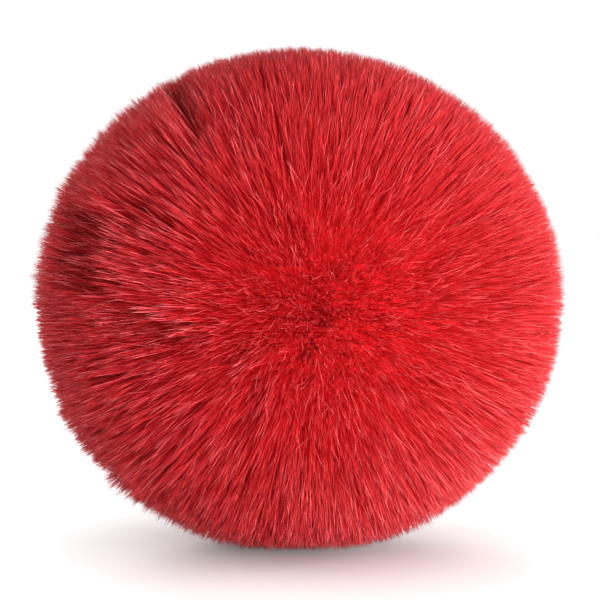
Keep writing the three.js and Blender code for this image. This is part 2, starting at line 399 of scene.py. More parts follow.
def cloudy(made, at, scale, detail=2.0, roughness=0.5, distortion=0.0):
    """Noise from 0 to 1 whose lumps are about 1 / scale millimetres across."""
    inputs = {"Vector": at, "Scale": scale, "Detail": detail, "Roughness": roughness}
    return node(made, "ShaderNodeTexNoise", {**inputs, "Distortion": distortion})


def ramp(made, source, stops):
    """Colours at places from 0 to 1."""
    new = made.node_tree.nodes.new("ShaderNodeValToRGB")
    elements = new.color_ramp.elements
    while len(elements) < len(stops):
        elements.new(0.5)
    for element, (place, colour) in zip(elements, stops):
        element.position = place
        element.color = (*colour, 1)
    made.node_tree.links.new(source, new.inputs["Fac"])
    return new.outputs["Color"]


def mixed(made, factor, first, second):
    """The first colour where the factor is 0 and the second where it is 1."""
    new = made.node_tree.nodes.new("ShaderNodeMix")
    new.data_type = "RGBA"
    for socket, value in ((new.inputs[0], factor), (new.inputs[6], first), (new.inputs[7], second)):
        made.node_tree.links.new(value, socket)
    return new.outputs[2]


def coat(made, colour=None, height=None, depth=0.1, shine=None):
    """Links a colour, a bump that is depth millimetres high, and a roughness to the shader."""
    links = made.node_tree.links
    shader = made.node_tree.nodes["Principled BSDF"]
    if colour is not None:
        links.new(colour, shader.inputs["Base Color"])
    if height is not None:
        normal = node(made, "ShaderNodeBump", {"Height": height, "Distance": depth * MM, "Strength": 1.0})
        links.new(normal, shader.inputs["Normal"])
    if shine is not None:
        source, low, high = shine
        spread = {"Value": source, "To Min": low, "To Max": high}
        links.new(node(made, "ShaderNodeMapRange", spread), shader.inputs["Roughness"])
    return made


def fur_material():
    """Acrylic pile. Its map runs from deeper to lighter strands across, and from root to tip up. The deepest
    colours also carry painted shade in the hollows, and the pale ones painted sheen on tips.
    """
    made = material("fur", 0.5, specular=0.05)
    tint, place = on_map(made, "OFBake")
    deep = ramp(made, place, FUR_DEEP_AND_HOLLOW_SHADE)
    light = ramp(made, place, FUR_LIGHT)
    pale = ramp(made, place, FUR_PALE_AND_SHEEN)
    body = mixed(made, node(made, "ShaderNodeMapRange", {"Value": tint, "From Max": TINT_MOST}), deep, light)
    # Pale colours: the strays, and tips painted as sheen and highlight.
    stray = sums(made, "GREATER_THAN", tint, (1 + TINT_MOST) / 2)
    return coat(made, mixed(made, stray, body, pale))


def under_fur_material():
    """Short dense hair, seen only as streaks between the long strands."""
    made = material("under_fur", 0.9, specular=0.05)
    streaks = cloudy(made, position(made), 0.9, 4, 0.7)
    return coat(made, ramp(made, streaks, UNDER_FUR), streaks, 0.4)


def knit_material():
    """Plain knit. Its columns of stitches run as they did in the flat cut, before it was gathered."""
    made = material("knit_backing", 0.9, specular=0.15, sheen=0.15)
    x, y, z = parts_of(made, position(made))
    out = sums(made, "SQRT", sums(made, "ADD", sums(made, "MULTIPLY", x, x), sums(made, "MULTIPLY", z, z)))
    polar = sums(made, "ARCTAN2", out, sums(made, "MULTIPLY", y, -1.0))
    spread = sums(made, "DIVIDE", sums(made, "MULTIPLY", polar, BAG_RADIUS), sums(made, "MAXIMUM", out, 0.1))
    column = sums(made, "DIVIDE", sums(made, "MULTIPLY", x, spread), STITCH_WIDTH)
    row = sums(made, "DIVIDE", sums(made, "MULTIPLY", z, spread), STITCH_HEIGHT)
    leg = sums(made, "PINGPONG", column, 0.5)
    slanted = sums(made, "SINE", sums(made, "MULTIPLY", sums(made, "ADD", row, leg), 2 * math.pi))
    groove = sums(made, "SINE", sums(made, "MULTIPLY", leg, 2 * math.pi))
    height = sums(made, "MULTIPLY_ADD", slanted, 0.3, groove)
    fibre = cloudy(made, position(made), 3.0, 4, 0.6)
    height = sums(made, "MULTIPLY_ADD", fibre, 0.5, height)
    # The colour follows the stitch relief: painted shade in the grooves between stitches, with the fibres'
    # own tone.
    colour = ramp(made, sums(made, "MULTIPLY_ADD", height, 0.35, 0.3), KNIT_REDS_AND_GROOVE_SHADE)
    return coat(made, colour, height, 0.14, (fibre, 0.8, 1.0))


def fibre_material(name, colours, scale, depth, sheen):
    """Loose matted fibres: felt and filling."""
    made = material(name, 0.95, specular=0.1, sheen=sheen)
    at = position(made)
    hairs = cloudy(made, at, scale, 6, 0.75, 2.5)
    blotches = cloudy(made, at, scale * 0.15, 2)
    height = sums(made, "MULTIPLY_ADD", hairs, 0.7, sums(made, "MULTIPLY", blotches, 0.3))
    return coat(made, ramp(made, height, colours), height, depth, (hairs, 0.85, 1.0))


def thread_material():
    """Spun polyester: fine fibres and a little shine."""
    made = material("sewing_thread", 0.6, specular=0.2, sheen=0.03)
    at = position(made)
    fibres = cloudy(made, at, 6.0, 4, 0.7, 1.0)
    return coat(made, ramp(made, fibres, THREAD_REDS), fibres, 0.05, (fibres, 0.4, 0.7))


def webbing_material():
    """Ribbed elastic webbing. Up its map the rows of weft follow each other along the loop."""
    made = material("webbing", 0.8, specular=0.2, sheen=0.05)
    x, y = on_map(made, "Weave")
    across = sums(made, "SINE", sums(made, "MULTIPLY", x, 2 * math.pi / YARN_PITCH))
    along = sums(made, "SINE", sums(made, "MULTIPLY", y, 2 * math.pi / (0.5 * WEFT_PITCH)))
    weave = sums(made, "MULTIPLY", across, along)
    fibre = cloudy(made, position(made), 5.0, 4, 0.65)
    height = sums(made, "MULTIPLY_ADD", weave, 0.3, fibre)
    worn = cloudy(made, position(made), 0.25, 3)
    # Colour: random worn patches, and painted shade where the weave lies low between ribs and wefts.
    shade = sums(made, "MULTIPLY_ADD", worn, 0.5, sums(made, "MULTIPLY", height, 0.45))
    return coat(made, ramp(made, shade, WEBBING_REDS_AND_WEAVE_SHADE), height, 0.09, (fibre, 0.65, 0.95))


def plastic_material(name, colours, roughness, grain, depth):
    """Moulded plastic with a fine eroded texture and slightly uneven shine."""
    made = material(name, roughness, specular=0.45)
    at = position(made)
    eroded = cloudy(made, at, grain, 5, 0.65)
    rubbed = cloudy(made, at, 0.35, 3, 0.6)
    colour = ramp(made, rubbed, colours)
    return coat(made, colour, eroded, depth, (rubbed, roughness - 0.12, roughness + 0.15))


def nickel_material():
    """Plated steel, tumbled, with hairline scratches and duller patches."""
    made = material("nickel_plate", 0.25, specular=0.5, metallic=1.0)
    scratches = cloudy(made, position(made, (1.5, 4.0, 14.0)), 1.0, 5, 0.7, 0.6)
    dull = cloudy(made, position(made), 0.9, 4, 0.6)
    colour = ramp(made, dull, [(0.3, (0.36, 0.35, 0.33)), (0.7, (0.50, 0.49, 0.47))])
    return coat(made, colour, scratches, 0.012, (dull, 0.16, 0.42))


# ---- The bag: knit backing, its gathering, and the filling ----

PLEATS = 28
CLOTH_THICKNESS = 0.8
PLEAT_HEIGHT = 0.38
HEM_MIDDLE_Y = HEM_Y - CLOTH_THICKNESS
HEM_BEND = 4.0
HEM_BEND_FROM = 39.7  # degrees behind the widest place
KNOT_SCALE = 0.34
KNOT_THREAD = 0.36
GATHERING_THREAD = 0.45


def bag_line():
    """The middle of the cloth, as [radius, y] from the front to the mouth."""
    radius = BAG_RADIUS - CLOTH_THICKNESS
    back_depth = BAG_BACK - CLOTH_THICKNESS
    front = arc((0, 0), (radius, BAG_FRONT - CLOTH_THICKNESS), -90, 0, 60)
    back = arc((0, 0), (radius, back_depth), 0, HEM_BEND_FROM, 40)
    start = back[-1]
    slope = radius**2 / back_depth**2 * start[1] / start[0]
    corner = np.array([start[0] - slope * (HEM_MIDDLE_Y - start[1]), HEM_MIDDLE_Y])
    flat = np.array([corner[0] - HEM_BEND, HEM_MIDDLE_Y])
    t = np.linspace(0, 1, 14)[1:, None]
    bend = (1 - t) ** 2 * start + 2 * (1 - t) * t * corner + t**2 * flat
    mouth = np.array([[THREAD_HIGH[0] + 0.7, HEM_MIDDLE_Y]])
    return even(np.concatenate([front, back[1:], bend, mouth]), 110)


def backing_shape():
    """Cloth with a face on each side, pleated more and more towards the mouth."""
    line = bag_line()
    step = np.gradient(line, axis=0)
    outward = unit(np.stack([step[:, 1], -step[:, 0]], axis=1))
    gone = travelled(line)
    deep = PLEAT_HEIGHT * smooth(gone, gone[-1] * 0.5, gone[-1] * 0.85)
    columns = 10 * PLEATS
    angle = turns(columns)[None, :]
    wander = 0.5 * np.sin(3 * angle + gone[:, None] / 9) + 0.3 * np.sin(5 * angle - gone[:, None] / 7)
    pleat = deep[:, None] * np.cos(PLEATS * angle + wander)
    layers = []
    for side in (0.5, -0.5):
        offset = pleat + side * CLOTH_THICKNESS
        r = line[:, :1] + outward[:, :1] * offset
        y = line[:, 1:] + outward[:, 1:] * offset
        layers.append((r, y))
    (r_out, y_out), (r_in, y_in) = layers
    fold_r = line[-1, 0] - 0.35
    fold_y = line[-1, 1] + pleat[-1:]
    r = np.concatenate([r_out[1:], np.full((1, columns), fold_r), r_in[:0:-1]])
    y = np.concatenate([y_out[1:], fold_y, y_in[:0:-1]])
    return turned(r, y, columns, (y_out[0, 0], y_in[0, 0]))


def filling_shape():
    """Fibre filling: a full, slightly lumpy pad, pressed flat behind the stiffener."""
    rows, columns = 100, 160
    polar = np.linspace(0, math.pi, rows + 2)[1:-1, None]
    angle = turns(columns)[None, :]
    out = np.sin(polar)
    d = np.stack([out * np.cos(angle), -np.cos(polar) + 0 * angle, out * np.sin(angle)], axis=2)
    reach = np.array([FILL_HIGH[0], -FILL_LOW[1], FILL_HIGH[2]]) - 0.6
    back = np.array([reach[0], BAG_BACK - 2.5, reach[2]])
    radii = np.where(d[:, :, 1:2] < 0, reach, back)
    r = 1 / np.linalg.norm(d / radii, axis=2)
    flat = (FILL_HIGH[1] - 0.5) / np.maximum(d[:, :, 1], 0.05)
    r = (r**-12.0 + flat**-12.0) ** (-1 / 12)
    for i in range(rows):
        for j in range(columns):
            at = Vector(d[i, j]) * 4
            crease = 1 - abs(noise.noise(at))
            r[i, j] += 0.5 * noise.noise(at * 2.3) - 0.9 * crease**6
    points = d * r[:, :, None]
    end_y = (-reach[1] + 0.5, FILL_HIGH[1] - 0.6)
    return turned(np.hypot(points[:, :, 0], points[:, :, 2]), points[:, :, 1], columns, end_y)


def knot_shape():
    """A flat overhand knot with two cut tails, inside the mouth."""
    t = np.linspace(0, 2 * math.pi, 90, endpoint=False)
    trefoil = [np.sin(t) + 2 * np.sin(2 * t), -0.9 * np.sin(3 * t), np.cos(t) - 2 * np.cos(2 * t)]
    loops = np.stack(trefoil, axis=1)
    middle = np.array([0, THREAD_Y, THREAD_LOW[2] + 2.3])
    shapes = [thread(loops * KNOT_SCALE + middle, KNOT_THREAD, closed=True)]
    for side, reach in ((-1, 3.4), (1, 2.6)):
        tail = np.array([[0.5, 0, 0.4], [1.1, 0.1, 1.4], [1.3, -0.1, reach - 0.6], [1.8, 0, reach]])
        shapes.append(thread(curve(tail * [side, 1, 1] + middle), KNOT_THREAD))
    return joined(shapes)


# ---- The closure ----

STITCHES = 40
STITCH_PULL = 0.28  # how far a stitch presses the felt in
FELT_EDGE = 0.6
CLEARANCE = 0.3  # between a rivet and the pieces that it holds
ROLL_RADIUS = 0.84
BRACKET_THICKNESS = 1.6
BRACKET_ROUNDING = 0.35
BRACKET_SHARP = 35  # degrees


def rounded_ring(inner, outer, low, high, edge):
    """The [radius, y] section of a flat ring with rounded edges, or of a disc where inner is 0."""
    middles = [(outer - edge, low + edge), (outer - edge, high - edge),
               (inner + edge, high - edge), (inner + edge, low + edge)]
    corners = [arc(middle, (edge, edge), 90 * k - 90, 90 * k, 5) for k, middle in enumerate(middles)]
    if inner > 0:
        return np.concatenate(corners)
    steps = np.linspace(0, outer - edge, 24)[:-1]
    floor = np.stack([steps, np.full(len(steps), low)], axis=1)
    roof = np.stack([steps[::-1], np.full(len(steps), high)], axis=1)
    return np.concatenate([floor, *corners[:2], roof])


def felt_shape():
    """A felt disc, a little uneven, and pulled in where each stitch holds it."""
    columns = 6 * STITCHES
    profile = rounded_ring(0, FELT_RADIUS, FELT_LOW[1], FELT_HIGH[1], FELT_EDGE)
    angle = turns(columns)[None, :]
    r, y = profile[1:-1, :1] + 0 * angle, profile[1:-1, 1:] + 0 * angle
    middle = (FELT_LOW[1] + FELT_HIGH[1]) / 2
    pulled = smooth(r, FELT_RADIUS - 3.2, FELT_RADIUS - 0.5) * (0.5 + 0.5 * np.cos(STITCHES * angle)) ** 3
    uneven = 0.06 * np.sin(3 * angle + r / 3) * np.sin(r / 4) + 0.03 * np.sin(11 * angle + r)
    top = y > middle
    y = y - np.where(top, STITCH_PULL * pulled + np.abs(uneven) * 1.5, 0)
    wavy = 0.08 * np.sin(7 * angle) * (r > FELT_RADIUS - 1)
    r = r - 0.25 * pulled * smooth(r, FELT_RADIUS - 0.8, FELT_RADIUS) + wavy
    return turned(r, y, columns, (FELT_LOW[1], FELT_HIGH[1]))


def felt_stitch_shape():
    """Blanket stitch: a thread round the felt's edge, and a leg of each stitch over it."""
    ring_radius = (STITCH_HIGH[0] + FELT_RADIUS) / 2 + 0.3
    ring_y = (STITCH_LOW[1] + STITCH_HIGH[1]) / 2
    shapes = [thread(ring_path(ring_radius, ring_y, 12 * STITCHES, 0.1, STITCHES), THREAD_SIZE, closed=True)]
    top = FELT_HIGH[1] + 0.05
    leg = curve([
        [ring_radius, ring_y], [ring_radius - 0.2, ring_y + 0.8], [FELT_RADIUS - 0.1, top - 0.15],
        [FELT_RADIUS - 1.2, top + 0.02], [FELT_RADIUS - 2.3, top - 0.02], [FELT_RADIUS - 2.7, top - 0.7],
    ], steps=5)
    for stitch, angle in enumerate(turns(STITCHES)):
        lean = angle + 0.012 * math.sin(5.3 * stitch)
        path = np.stack([leg[:, 0] * math.cos(lean), leg[:, 1], leg[:, 0] * math.sin(lean)], axis=1)
        shapes.append(thread(path, THREAD_SIZE))
    return joined(shapes)


def rivet_shape(x):
    """A semi-tubular rivet: a domed head outside, and a tail rolled over its washer inside the bag."""
    low, high = RIVET_LOW[1], RIVET_HIGH[1]
    under_head = BRACKET_LOW[1] + BRACKET_THICKNESS + CLEARANCE
    under_washer = WASHER_LOW[1] - CLEARANCE
    head_radius = (RIVET_HIGH[0] - RIVET_LOW[0]) / 2
    profile = np.concatenate([
        [[0, low + 2.2], [0.5, low + 2.1], [0.72, low + 1.8]],
        arc((1.56, under_washer), (ROLL_RADIUS, under_washer - low), 180, 360, 14),
        [[2.3, under_washer + 0.1], [SHANK_RADIUS + 0.1, under_washer + 0.1]],
        [[SHANK_RADIUS, under_washer + 0.3], [SHANK_RADIUS, under_head - 0.2]],
        [[SHANK_RADIUS + 0.15, under_head]],
        arc((head_radius - 0.18, under_head + 0.18), (0.18, 0.18), -90, 0, 5),
        arc((0, under_head + 0.25), (head_radius, high - under_head - 0.25), 3, 88, 14),
        [[0, high]],
    ])
    points, faces = lathe(profile, 48)
    return points + np.array([x, 0, 0]), faces


def washer_shape(x):
    radius = (WASHER_HIGH[0] - WASHER_LOW[0]) / 2
    points, faces = lathe(rounded_ring(HOLE_RADIUS, radius, WASHER_LOW[1], WASHER_HIGH[1], 0.15), 64)
    return points + np.array([x, 0, 0]), faces


# ---- The finger loop ----

WEBBING_HALF_THICKNESS = 0.65
WEBBING_EDGE = 0.5
RIBS = 10
RIB_HEIGHT = 0.11
WEFT_HEIGHT = 0.05
TACK_THROWS = 26
TACK_THREAD = 0.26
HALF_LOOP = [  # half of the webbing's middle line, as [along, across] from the bar
    [-2.6, 0], [-1.85, -1.85], [0, -2.6], [1.9, -1.8], [3.7, -1], [5.2, -0.85], [6.8, -0.85],
    [8.2, -0.95], [9.5, -1.6], [11, -3.2], [14, -7], [18.6, -10], [24, -10.9], [29.2, -9.6],
    [33, -6.3], [35, -2.6],
]


def webbing_shape():
    """Ribbed webbing round the bar, through the neck and round the finger gap, closed on itself."""
    columns, face_rows, edge_rows = 420, 66, 7
    mirrored = [[along, -across] for along, across in HALF_LOOP[:0:-1]]
    line = even(curve(HALF_LOOP + mirrored, closed=True), columns, closed=True)
    along = unit(np.roll(line, -1, axis=0) - np.roll(line, 1, axis=0))
    out = np.stack([along[:, 1], -along[:, 0]], axis=1)
    width = LOOP_HIGH[0]
    flat = np.linspace(-(width - WEBBING_EDGE), width - WEBBING_EDGE, face_rows)
    turn = np.linspace(math.pi / 2, -math.pi / 2, edge_rows + 2)[1:-1]
    side_w = width - WEBBING_EDGE + WEBBING_EDGE * np.cos(turn)
    side_h = np.sin(turn)
    w = np.concatenate([flat, side_w, flat[::-1], -side_w])
    h = np.concatenate([np.ones(face_rows), side_h, -np.ones(face_rows), side_h[::-1]])
    on_face = np.concatenate([np.ones(face_rows), np.zeros(edge_rows)] * 2)
    rib = on_face * np.cos(2 * math.pi * RIBS * w / (2 * width))
    gone = np.arange(columns) / columns * travelled(np.concatenate([line, line[:1]]))[-1]
    wefts = round(gone[-1] / WEFT_PITCH)
    row_of_rib = np.floor(RIBS * (w / (2 * width)) + 0.5)
    beat = np.cos(wefts * 2 * math.pi * np.arange(columns) / columns + math.pi * row_of_rib[:, None])
    relief = RIB_HEIGHT * rib[:, None] + WEFT_HEIGHT * beat * on_face[:, None]
    height = (WEBBING_HALF_THICKNESS - RIB_HEIGHT - WEFT_HEIGHT + relief) * h[:, None]
    points = np.empty((len(w), columns, 3))
    points[:, :, 0] = w[:, None]
    points[:, :, 1] = BAR[1] + line[:, 0] + out[:, 0] * height
    points[:, :, 2] = line[:, 1] + out[:, 1] * height
    return points.reshape(-1, 3), grid_faces(len(w), columns, close_rows=True), w, gone


def weave_map(piece, w, gone):
    """Millimetres across and along the webbing, as a map for its material."""
    columns, length = len(gone), gone[-1] + gone[1]
    layer = piece.data.uv_layers.new(name="Weave")
    corner = np.empty(len(piece.data.loops), int)
    piece.data.loops.foreach_get("vertex_index", corner)
    row, column = corner // columns, corner % columns
    quads = column.reshape(-1, 4)
    wraps = (quads.max(axis=1, keepdims=True) == columns - 1) & (quads == 0)
    v = gone[column] + wraps.ravel() * length
    layer.data.foreach_set("uv", np.stack([w[row], v], axis=1).astype(np.float32).ravel())


def tack_shape():
    """A bar tack: close zigzag stitches on both faces of the neck, through both plies."""
    lift = 2 * WEBBING_HALF_THICKNESS + 0.2 + 0.12
    middle_y = (TACK_LOW[1] + TACK_HIGH[1]) / 2
    half_width = (TACK_HIGH[1] - TACK_LOW[1]) / 2
    x = np.linspace(TACK_LOW[0] + 0.2, TACK_HIGH[0] - 0.2, TACK_THROWS)
    path = []
    for side in (1, -1):
        for k, place in enumerate(x[::side]):
            reach = half_width if k % 2 else -half_width
            path.append([place, middle_y + reach * 0.8, side * (lift - 0.1)])
            path.append([place, middle_y + reach, side * (lift - 0.45)])
    return thread(curve(path, closed=True, steps=4), TACK_THREAD, closed=True, plies=2, pitch=1.6)


# ---- The pile ----

STRANDS = 140000
STRANDS_A_PIECE = 7000
STRAYS = 2200
SIDES = 3
PLACES = np.array([0.0, 0.5, 0.69, 0.82, 0.94, 1.0])  # of a strand's rings and tip along it
RINGS = len(PLACES) - 1
STRAND_POINTS = RINGS * SIDES + 1
STRAND_RADIUS = 0.085
TIP_TAPER = 0.35

WHORL = unit(np.array([8.0, -71.0, -1.1]))
WHORL_ANGLE = math.radians(28)
SLANT = math.radians(31)
SLANT_FULL = math.radians(45)  # how far from the whorl the pile slants most
SLANT_EASES = (math.radians(38), math.radians(95))
SLANT_LOST = 0.55
LEFT_ERECT = 0.15
BARE_BACK = math.radians(44)
LINING_ANGLE = math.radians(24)
NEST_ANGLE = math.radians(135)
UNDER_FUR_SHARE = 0.84  # how far out the short dense hair reaches
REST_ROUNDING = 4.0  # how far above the floor the lowest hairs start to be pressed
REST_GAP = 0.3  # how close to the floor they come

CLUMPS = [  # how many, their spread, their pull, and how much they differ in height and in tint
    (260, 0.05, 0.1, 0.006, 0.03),
    (1700, 0.035, 0.11, 0.005, 0.04),
    (9000, 0.014, 0.1, 0.005, 0.04),
    (24000, 0.006, 0.0, 0.009, 0.02),  # the spikes
]
SPIKE_PULL = 0.8
SMOOTH_SIDE = 0.35  # how clumped the right side is, where the left is 1
SHORTER_SHARE = 0.28
SHORTER = (0.82, 0.97)
STRAY_HEIGHT = (0.99, 1.012)
STRAY_SPREAD = 0.16
CURL = (0.25, 0.8)
THICKNESS = (0.75, 1.3)
HANDLES = (0.42, 0.3)  # of a strand's curve at its root and its tip, as shares of its length
TIP_RISE = 0.22
# Shares of strands with pale pink tips: painted sheen on the left and low right, and a painted highlight on
# lock edges over the hollows.
PAINTED_SHEEN_TIPS = 0.15
PAINTED_EDGE_HIGHLIGHT = 0.3
# Painted shade: how much darker strands are tinted where they pass through a hollow under a lock's edge.
PAINTED_HOLLOW_SHADE = 4.5
STEPS = [  # where a lock ends over a hollow: from (x, z) to (x, z), how far the hollow runs, and its depth
    ((-55, 26), (-58, 4), 13, 0.2),
    ((-50, 4), (-29, -7), 8, 0.12),
    ((-30, 47), (-39, 60), 9, 0.13),
    ((-40, 28), (-46, 20), 7, 0.1),
    ((-11, -21), (-13, -36), 4, 0.07),
    ((-17, -11), (-19, -19), 4, 0.05),
    ((9, 1), (8, -4), 5, 0.05),
    ((5, -9), (2, -14), 5, 0.05),
]


def even_directions(count):
    """Unit vectors spread evenly over a sphere on a spiral, with a little disorder."""
    i = np.arange(count) + 0.5
    height = 1 - 2 * i / count
    turn = i * math.pi * (3 - math.sqrt(5))
    flat = np.sqrt(1 - height**2)
    spiral = np.stack([flat * np.cos(turn), flat * np.sin(turn), height], axis=1)
    return unit(spiral + rng.normal(0, 1.2 / math.sqrt(count), (count, 3)))


def on_ellipsoid(d, radii):
    """The point of an ellipsoid round the ball's centre in each direction."""
    return d / np.linalg.norm(d / radii, axis=1, keepdims=True)


def bag_radii(d):
    """The bag is deeper behind its widest place than in front of it."""
    wide = np.full(len(d), BAG_RADIUS)
    return np.stack([wide, np.where(d[:, 1] < 0, BAG_FRONT, BAG_BACK), wide], axis=1)


def away_from_whorl(d):
    """The direction over the ball away from the whorl, and the angle from it."""
    cosine = np.clip(d @ WHORL, -1, 1)
    return unit(d * cosine[:, None] - WHORL), np.arccos(cosine)


def leant(d, extra=0.0):
    """Each direction moved away from the whorl by the pile's slant, and the direction across that."""
    away, angle = away_from_whorl(d)
    rise = smooth(angle, 0, SLANT_FULL)
    fall = smooth(angle, *SLANT_EASES)
    left = LEFT_ERECT * (1 - smooth(d[:, 0], -0.6, -0.1))
    erect = left * (1 - smooth(angle, math.radians(80), NEST_ANGLE))
    lean = (SLANT * rise * (1 - SLANT_LOST * fall - erect) + extra)[:, None]
    return d * np.cos(lean) + away * np.sin(lean), np.cross(d, away)


def nearest(points, guides):
    """For each point the number of its nearest guide."""
    tree = KDTree(len(guides))
    for i, guide in enumerate(guides):
        tree.insert(guide, i)
    tree.balance()
    return np.array([tree.find(point)[1] for point in points])


def stepped(tips):
    """How deep each point lies in a hollow, and from 0 to 1 how near it is to the edge of the lock above."""
    deep, edge = np.zeros(len(tips)), np.zeros(len(tips))
    for start, end, reach, depth in STEPS:
        start, along = np.array(start, float), np.subtract(end, start).astype(float)
        length = np.linalg.norm(along)
        along = along / length
        at = tips[:, [0, 2]] - start
        beside = at @ along
        beyond = at @ np.array([along[1], -along[0]])
        inside = smooth(beside, -2, 2) * (1 - smooth(beside, length - 2, length + 2)) * (tips[:, 1] < 0)
        ragged = beyond + 1.2 * np.sin(beside * 1.9 + start[0]) + 0.6 * np.sin(beside * 4.7)
        deep += depth * inside * smooth(ragged, -0.5, 0.8) * np.clip(1 - ragged / reach, 0, 1)
        edge = np.maximum(edge, inside * smooth(ragged, -7, -1) * (1 - smooth(ragged, -0.5, 0.8)))
    return deep, edge


def rooted():
    """The direction of every strand's root, and which strands are strays. The back is bare."""
    roots = even_directions(int(STRANDS * 1.14))
    roots = roots[np.arccos(np.clip(roots[:, 1], -1, 1)) > BARE_BACK]
    front = roots[roots[:, 1] < -0.3]
    roots = np.concatenate([roots, front[rng.choice(len(front), STRAYS, replace=False)]])
    return roots, np.arange(len(roots)) >= len(roots) - STRAYS


def clumped(roots, stray, whorl):
    """Each strand's direction before and after its spike draws it in, its height, where 1 is the ball,
    its tint, lighter round the whorl as painted light, and how likely its end is pale, which on the left
    and low right is painted sheen."""
    count = len(roots)
    tips, side = leant(roots)
    coarse = 1 - (1 - SMOOTH_SIDE) * smooth(tips[:, 0], -0.6, 0.0)
    rim = 1 - smooth(np.abs(tips[:, 1]), 0.15, 0.4)
    height = np.full(count, 0.997)
    # Painted light: strands round the whorl take a lighter tint, offsetting the shade between strands whose
    # ends face the front.
    tint = 0.5 + 0.04 * rng.normal(0, 1, count) + 0.28 * whorl
    pulled = tips.copy()
    for number, spread, pull, uneven, mottled in CLUMPS:
        guides = even_directions(number)
        member = nearest(roots, guides)
        ends, across = leant(guides, rng.normal(0, spread, number))
        ends = unit(ends + across * rng.normal(0, spread, (number, 1)))
        pulled += (pull * coarse)[:, None] * (ends[member] - tips)
        height += uneven * rng.normal(0, 1, number)[member] * coarse
        tint += mottled * rng.normal(0, 1, number)[member] * coarse
    ruffled = 0.006 + 0.035 * whorl
    pulled += rng.normal(0, 1, (count, 3)) * ruffled[:, None]
    wander = side[stray] * rng.normal(0, STRAY_SPREAD, (STRAYS, 1))
    pulled[stray] += wander + rng.normal(0, 0.03, (STRAYS, 3))
    free = unit(pulled)
    spiky = np.where(stray, 0, SPIKE_PULL * np.maximum(coarse, rim))
    spiked = unit(free + spiky[:, None] * (ends[member] - tips))

    height -= np.abs(rng.normal(0, 0.006, count))
    shorter = (rng.random(count) < SHORTER_SHARE) & ~stray
    height[shorter] *= rng.uniform(*SHORTER, shorter.sum())
    height[stray] = rng.uniform(*STRAY_HEIGHT, STRAYS)
    # Painted sheen: pale tips gather on the left and on the low right side, where light grazes and glows
    # through the pile.
    painted_glow_side = smooth(0.6 * free[:, 0] - free[:, 2], 0.5, 1.1)
    pale_and_sheen_share = PAINTED_SHEEN_TIPS * (coarse - SMOOTH_SIDE + painted_glow_side)
    return free, spiked, height, tint, pale_and_sheen_share


def root_slope(roots, bag):
    """The direction in which each strand leaves the backing. Round the nest they lean out along its wall."""
    slope = unit(on_ellipsoid(roots, bag) / bag**2)
    behind = np.arccos(np.clip(roots[:, 1], -1, 1))
    lining = (1 - smooth(behind, BARE_BACK, BARE_BACK + LINING_ANGLE))[:, None]
    out = unit(roots * [1, 0, 1])
    return unit(slope * (1 - lining) + (0.2 * out + [0, 0.98, 0]) * lining)


def bent(root, slope, outward, free, tip):
    """Each strand's line: a Bezier curve that leaves the backing along its slope and lies over by its tip."""
    length = np.linalg.norm(tip - root, axis=1, keepdims=True)
    first = root + slope * length * HANDLES[0]
    second = free - unit(unit(free - first) + TIP_RISE * outward) * length * HANDLES[1]
    t = PLACES
    weights = np.stack([(1 - t) ** 3, 3 * (1 - t) ** 2 * t, 3 * (1 - t) * t**2, t**3], axis=1)
    return np.einsum("kc,ncx->nkx", weights, np.stack([root, first, second, tip], axis=1))


def curled(line, size):
    """The lines with a wave along each, in a direction of its own."""
    count = len(line)
    wave = unit(rng.normal(0, 1, (count, 3))) * size[:, None]
    phase = rng.uniform(0, 2 * math.pi, (count, 1)) + rng.uniform(1.2, 3.6, (count, 1)) * 2 * math.pi * PLACES
    return line + wave[:, None, :] * (np.sin(phase) * smooth(PLACES, 0.05, 0.7))[:, :, None]


def pressed(line):
    """The lines with their lowest parts pressed flat by the floor."""
    floor = -CENTRE[2]
    low = line[:, :, 2] - floor
    eased = REST_GAP + (REST_ROUNDING - REST_GAP) * np.exp((low - REST_ROUNDING) / REST_ROUNDING)
    line[:, :, 2] = floor + np.where(low < REST_ROUNDING, eased, low)
    return line


def comb():
    """The line of every strand from root to tip, its radius, its tint along the line, darker in the hollows
    as painted shade, and its angle.
    """
    roots, stray = rooted()
    count = len(roots)
    _, angle = away_from_whorl(roots)
    whorl = 1 - smooth(angle, 0, WHORL_ANGLE)
    tips, spiked, height, tint, pale_and_sheen_share = clumped(roots, stray, whorl)
    tip = on_ellipsoid(spiked, BALL)
    deep, edge = stepped(tip)
    tip *= (height - deep + 0.008 * edge)[:, None]
    # Pale strands: the strays, plus tips painted as sheen and as a highlight on lock edges.
    pale = stray | (rng.random(count) < pale_and_sheen_share + PAINTED_EDGE_HIGHLIGHT * edge)

    bag = bag_radii(roots)
    free = on_ellipsoid(tips, BALL) * (height - deep)[:, None]
    line = bent(on_ellipsoid(roots, bag), root_slope(roots, bag), tips, free, tip)
    line = curled(line, rng.uniform(*CURL, count) + 0.6 * whorl + 0.5 * stray)
    line = pressed(line)

    # Painted shade: each point of a strand that lies in a hollow takes a darker tint, towards the deepest
    # colours.
    hollow, _ = stepped(line.reshape(-1, 3))
    tint = tint[:, None] - PAINTED_HOLLOW_SHADE * hollow.reshape(count, len(PLACES))
    tint = np.clip(tint * TINT_MOST, 0.01, TINT_MOST - 0.02)
    tint[pale] = TINT_PALE_AND_SHEEN
    radius = STRAND_RADIUS * rng.uniform(*THICKNESS, count)
    radius[stray] *= 0.8
    return line, radius, tint, angle


